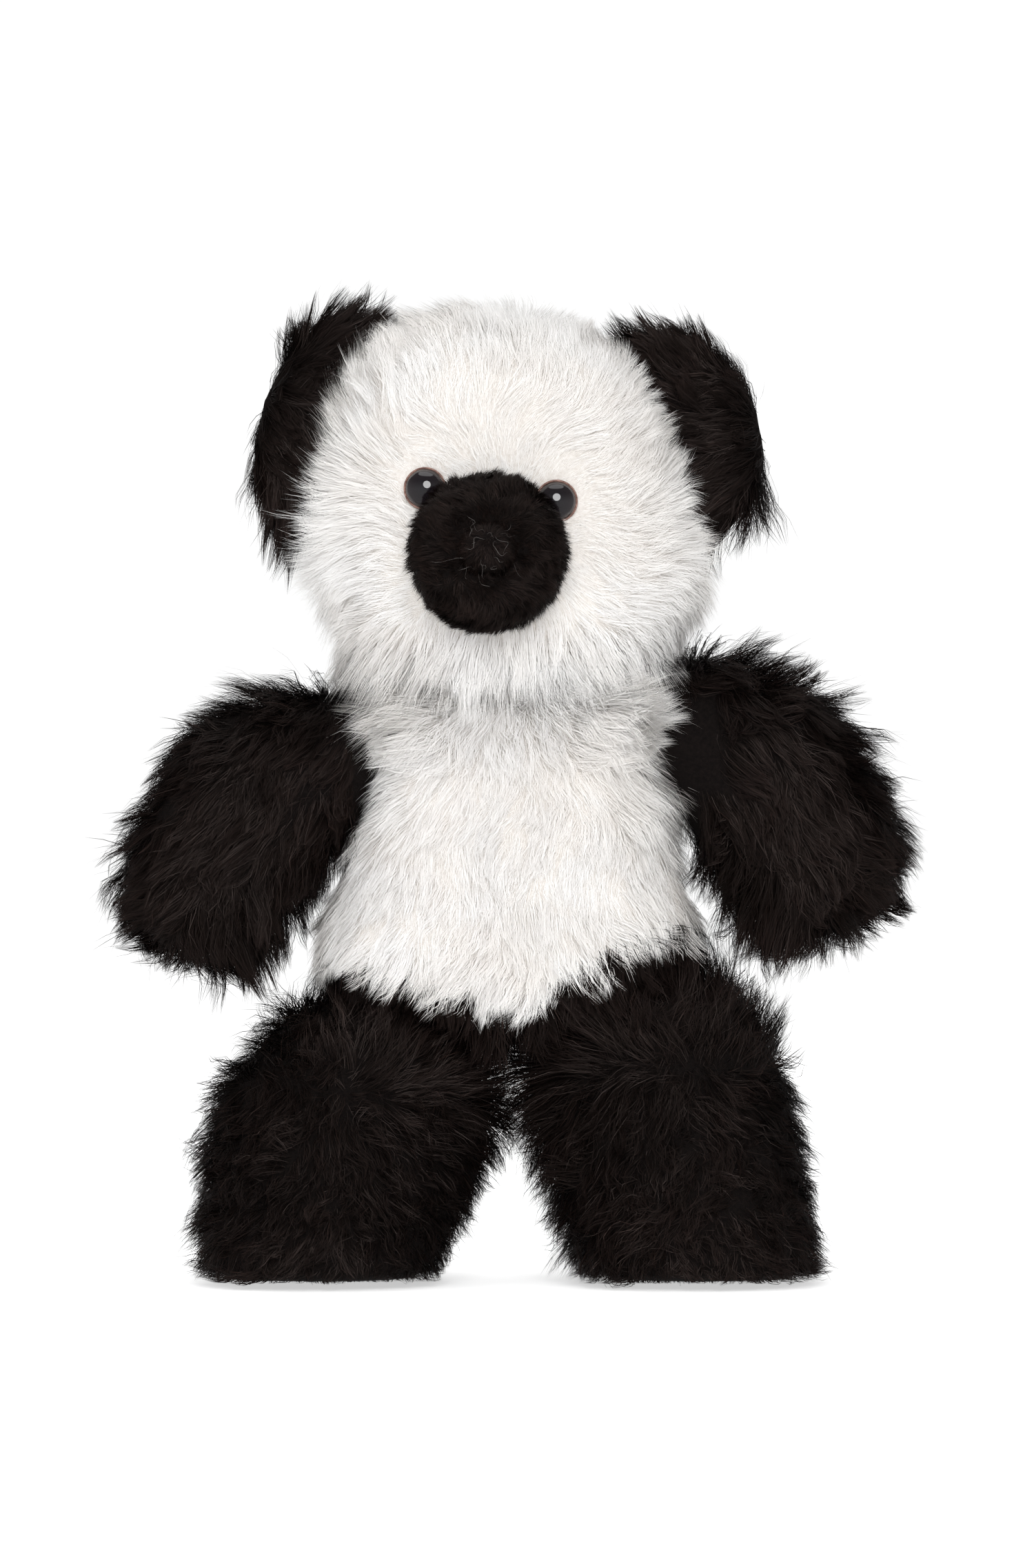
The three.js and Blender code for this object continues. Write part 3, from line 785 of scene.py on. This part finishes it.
for side in ("right", "left"):
    axis, tip = eye_axis(side)
    base = tip - axis * CAP_HEIGHT + EYE_SHIFT
    cap = turned(f"{side}_eye_cap", cap_profile, 48, base, axis, EYE_GLOSS)
    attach(cap, "head")
    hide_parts(f"{side}_eye")
    rim = turned(f"{side}_eye_rim", rim_profile, 40, base, axis, EYE_RIM)
    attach(rim, "head")

# ---------------------------------------------------------------- ears, arms and legs

# Each side's pile is brushed in its own way. upward and fan_below steer the strands, and outer_lift raises
# them. The chest's pile covers the arm's root above covered_above, a height from the shoulder. The arm's own
# pile starts covered millimetres out from the shoulder there, and open millimetres out below. square is 1
# where the leg's outer corner stands up square. The rest are added lengths.
EAR_PILE = {
    "right": {"upward": 0.0, "fan_below": 1.0, "edge": 4.5, "mid_edge": 0.0, "top": 2.0, "bottom": 3.0},
    "left": {"upward": 0.3, "fan_below": 0.4, "edge": 17.0, "mid_edge": 4.5, "top": 0.0, "bottom": 5.0}}
ARM_PILE = {
    "right": {"upward": 0.1, "outer": 0.5, "outer_end": 0.0, "outer_lift": 0.04, "lower": 0.0, "upper": 4.5,
              "inner": 2.0, "inner_end": 2.5, "beneath": 1.5, "covered_above": 6, "covered": 8, "open": -8},
    "left": {"upward": 0.6, "outer": 4.5, "outer_end": -7.0, "outer_lift": 0.14, "lower": -2.0, "upper": 5.5,
             "inner": 1.5, "inner_end": 4.0, "beneath": 4.5, "covered_above": -20, "covered": 10, "open": 3}}
LEG_PILE = {
    "right": {"high": 2.0, "inner": -2.0, "inner_low": 0.0, "outer": 1.5, "outer_low": -3.0, "square": 0.0},
    "left": {"high": 4.0, "inner": 3.5, "inner_low": 2.0, "outer": 0.0, "outer_low": 1.5, "square": 1.0}}


def ear(side, sign):
    pivot = joint_at(f"{side}_ear_fold")
    line = np.array(JOINTS[f"{side}_ear_fold"]["axis"])
    outward = unit(np.cross(np.array([0, 1, 0]) * sign, line))
    pile = EAR_PILE[side]
    ear_skin = skin(f"{side}_ear_skin", f"{side}_ear",
                    [f"{side}_ear_front_panel", f"{side}_ear_back_panel"], BLACK_HIDE,
                    voxel=1.6, smooth=5)

    def comb(at, normal):
        along = ((at - pivot) * line).sum(1)
        edge = share(((at - pivot) * outward).sum(1) / 14)
        fan = np.minimum(along / 17, pile["fan_below"] * along / 17)
        way = outward * 0.9 + line * fan[:, None] + np.array([0, 0, pile["upward"]])
        length = 11 + pile["edge"] * edge + pile["top"] * share(-along / 16 - 0.5)
        length += pile["bottom"] * share(along / 16 - 0.5)
        length += pile["mid_edge"] * edge * share(1 - np.abs(along) / 14)
        return unit(way), length, 0.32 - 0.10 * edge, all_of(at, 0)

    def keep(at, normal):
        return 1 + 2.5 * share(((at - pivot) * outward).sum(1) / 8 - 1.2)

    fur(f"{side}_ear_fur", f"{side}_ear", ear_skin, BLACK, 19000, comb, 41 + sign, width=0.19, lock=5,
        wisp=1.6, pull=(0.4, 0.9), wave=0.8, ragged=0.5, soft=0.5, mess=0.26, keep=keep)


def arm(side, sign):
    shoulder = joint_at(f"{side}_shoulder_raise")
    reach = (middle(f"{side}_arm_front_panel") - shoulder) * np.array([1, 0, 1]) * 2.1
    axis = unit(reach)
    pile = ARM_PILE[side]
    arm_skin = skin(f"{side}_arm_skin", f"{side}_arm",
                    [f"{side}_arm_front_panel", f"{side}_arm_back_panel", f"{side}_arm_stuffing"],
                    BLACK_HIDE, voxel=2.6, smooth=8)

    def comb(at, normal):
        along = ((at - shoulder) * axis).sum(1) / np.linalg.norm(reach)
        end = share(2 * along - 1.2)
        outer = share(normal[:, 0] * sign)
        inner = share(-normal[:, 0] * sign) * share(2 * along - 0.2)
        lower = share(-normal[:, 2])
        upper = share(normal[:, 2]) * share(1.2 - 6 * along)
        turned_in = share(lower - 1.2 * normal[:, 0] * sign) * share(3 * along - 1.2)
        beneath = share(lower - normal[:, 0] * sign) * share(2 * along - 0.6)

        way = axis + np.array([sign, 0, pile["upward"]]) * (0.6 * outer)[:, None]
        way = way + np.array([-1.1 * sign, 0, -0.1]) * turned_in[:, None] + np.array([0, 0, -0.25])
        way = way + np.array([-0.8 * sign, 0, 0.5]) * upper[:, None]
        length = 10.5 + 2 * share(along) + (pile["outer"] + pile["outer_end"] * end) * outer
        length += pile["lower"] * lower + pile["upper"] * upper + pile["beneath"] * beneath
        length += (pile["inner"] + pile["inner_end"] * end) * inner
        lift = 0.34 + pile["outer_lift"] * outer + 0.22 * upper + 0.14 * lower + 0.2 * inner
        return way, length, lift, 0.10 - 0.08 * upper

    def keep(at, normal):
        inside = (at[:, 0] - shoulder[0]) * sign
        # The chest's white pile lies over the front of the arm's root.
        bare = np.where(at[:, 2] > shoulder[2] + pile["covered_above"], pile["covered"], pile["open"])
        bare = np.where(normal[:, 2] > 0.5, -4, bare)
        return share((inside - np.where(normal[:, 1] < 0.2, bare, -13)) / 3)

    fur(f"{side}_arm_fur", f"{side}_arm", arm_skin, BLACK, 36000, comb, 51 + sign, width=0.19, lock=7,
        wisp=1.8, pull=(0.45, 0.94), wave=1.2, ragged=0.5, soft=0.5, mess=0.3, keep=keep)
    ring = frame["nodes"][f"{side}_shoulder_thread"]
    ring.data.materials.clear()
    ring.data.materials.append(BLACK_HIDE)


def leg(side, sign):
    hip = joint_at(f"{side}_hip_swing")
    pile = LEG_PILE[side]
    leg_skin = skin(f"{side}_leg_skin", f"{side}_leg",
                    [f"{side}_leg_outer_panel", f"{side}_leg_inner_panel", f"{side}_sole_panel",
                     f"{side}_leg_stuffing"], BLACK_HIDE, voxel=2.8, smooth=8)
    # The sole's edge is drawn up, so that only the pile meets the floor there.
    for vertex in leg_skin.data.vertices:
        sunk = max(0.0, 6 * MM - vertex.co.z)
        vertex.co.z += 0.45 * sunk

    def comb(at, normal):
        height = at[:, 2]
        low = share((22 - height) / 22)
        outer = share(normal[:, 0] * sign)
        inner = share(-normal[:, 0] * sign)
        high = share((height - hip[2] + 4) / 14) * share(1 - 0.8 * outer)
        crotch = inner * share(1 - np.abs(height - hip[2] - 4) / 24)
        corner = share((height - hip[2] + 6) / 12) * outer * pile["square"]

        way = ways((at[:, 0] - hip[0]) / 40, (at[:, 1] - hip[1]) / 50, 0) * (0.35 + 0.45 * low)[:, None]
        way = way + DOWN * (1 - 0.75 * low)[:, None]
        # The top of the leg is brushed up against the belly.
        up = ways(-0.9 * sign * inner, -0.4 * (normal[:, 1] < 0), 1 - 0.5 * inner)
        way = way * (1 - high)[:, None] + up * high[:, None]
        way = way + np.array([0.2, 0, 1.3]) * corner[:, None]
        way = way + np.array([-1.4 * sign, -0.2, 0.2]) * crotch[:, None]
        length = 9.0 - 1.5 * low + pile["high"] * high * (1 + 1.2 * outer) + 9 * crotch + 2 * corner
        length += (pile["inner"] + pile["inner_low"] * low) * inner
        length += (pile["outer"] + pile["outer_low"] * low) * outer
        return way, length, 0.50 + 0.12 * inner - 0.08 * high, 0.10 * (1 - low) * (1 - high)

    def keep(at, normal):
        return np.where(normal[:, 2] < -0.8, 0.5, 1.0)

    fur(f"{side}_leg_fur", f"{side}_leg", leg_skin, BLACK, 40000, comb, 61 + sign, width=0.19, lock=5,
        wisp=1.7, pull=(0.4, 0.8), wave=1.2, ragged=0.45, soft=0.5, mess=0.5, keep=keep)


for side, sign in (("right", -1), ("left", 1)):
    ear(side, sign)
    arm(side, sign)
    leg(side, sign)

# ---------------------------------------------------------------- floor, light and camera

# The floor glows more further out, so that it meets the white wall without a line.
FLOOR_HALF = 8.0  # metres
floor_mesh = bpy.data.meshes.new("floor")
floor_corners = [(x * FLOOR_HALF, y * FLOOR_HALF, 0) for x, y in ((-1, -1), (1, -1), (1, 1), (-1, 1))]
floor_mesh.from_pydata(floor_corners, [], [(0, 1, 2, 3)])
floor_look = Nodes("floor_white", 0.9, 0.1)
place = floor_look.add("ShaderNodeTexCoord")
distance = floor_look.add("ShaderNodeVectorMath", operation="LENGTH")
floor_look.link(place.outputs["Object"], distance.inputs[0])
away = floor_look.math("MULTIPLY", distance.outputs["Value"], 0.5)
floor_look.colour(floor_look.ramp(away, [(0.08, (0.93, 0.93, 0.93)), (0.5, (0.30, 0.30, 0.30))]))
floor_glow = floor_look.ramp(away, [(0.08, (0.55, 0.55, 0.55)), (0.5, (1.0, 1.0, 1.0))])
floor_look.link(floor_glow, floor_look.shader.inputs["Emission Color"])
floor_look.shader.inputs["Emission Strength"].default_value = 1.0
floor = new_object("floor", floor_mesh, floor_look.material)
floor.visible_glossy = False

# A white studio wall. The camera sees it evenly white, and the light it gives fades from the horizon up.
world = bpy.data.worlds.new("studio")
scene.world = world
world.use_nodes = True
studio = world.node_tree
wall = studio.nodes["Background"]
wall.inputs["Color"].default_value = (1, 1, 1, 1)
ray = studio.nodes.new("ShaderNodeLightPath")
direction = studio.nodes.new("ShaderNodeTexCoord")
height = studio.nodes.new("ShaderNodeSeparateXYZ")
glow = studio.nodes.new("ShaderNodeMapRange")
glow.inputs["From Min"].default_value = 0.0
glow.inputs["From Max"].default_value = 0.55
glow.inputs["To Min"].default_value = 0.60
glow.inputs["To Max"].default_value = 0.18
strength = studio.nodes.new("ShaderNodeMix")
strength.inputs[3].default_value = 1.02
studio.links.new(direction.outputs["Generated"], height.inputs[0])
studio.links.new(height.outputs["Z"], glow.inputs["Value"])
studio.links.new(ray.outputs["Is Camera Ray"], strength.inputs[0])
studio.links.new(glow.outputs["Result"], strength.inputs[2])
studio.links.new(strength.outputs[0], wall.inputs["Strength"])


def disc_light(name, at, toward, size, power, shows=True):
    """A round soft light. One that doesn't show leaves no glint in the eyes."""
    data = bpy.data.lights.new(name, "AREA")
    data.shape = "DISK"
    data.size = size
    data.energy = power
    lamp = bpy.data.objects.new(name, data)
    scene.collection.objects.link(lamp)
    lamp.location = at
    lamp.rotation_euler = (Vector(toward) - Vector(at)).to_track_quat("-Z", "Y").to_euler()
    lamp.visible_glossy = shows


disc_light("key", (0.08, -1.72, 0.80), (0, 0, 0.26), size=1.0, power=23)
disc_light("top", (0.0, -0.1, 1.6), (0, 0, 0.20), size=1.4, power=8)
disc_light("low_fill", (-0.1, -1.9, 0.06), (0, 0, 0.24), size=1.2, power=3.5, shows=False)
disc_light("back", (-0.2, 1.8, 0.8), (0, 0, 0.20), size=1.4, power=12, shows=False)
disc_light("right_side", (-1.8, -0.2, 0.7), (0, 0, 0.20), size=1.4, power=8, shows=False)
disc_light("left_side", (1.8, -0.2, 0.7), (0, 0, 0.20), size=1.4, power=3, shows=False)

# The camera looks level at the toy's middle from a distance. In metres.
DISTANCE = 2.5
VIEW_HEIGHT = 0.4892  # what the frame's height shows there
LOOKS_AT = (0.0021, 0.0157, 0.1553)
camera_data = bpy.data.cameras.new("camera")
camera = bpy.data.objects.new("camera", camera_data)
scene.collection.objects.link(camera)
scene.camera = camera
camera.location = (LOOKS_AT[0], LOOKS_AT[1] - DISTANCE, LOOKS_AT[2])
camera.rotation_euler = (math.pi / 2, 0, 0)
camera_data.sensor_fit = "VERTICAL"
camera_data.sensor_height = 36
camera_data.lens = camera_data.sensor_height * DISTANCE / VIEW_HEIGHT
camera_data.clip_end = 60
scene.view_settings.view_transform = "Standard"
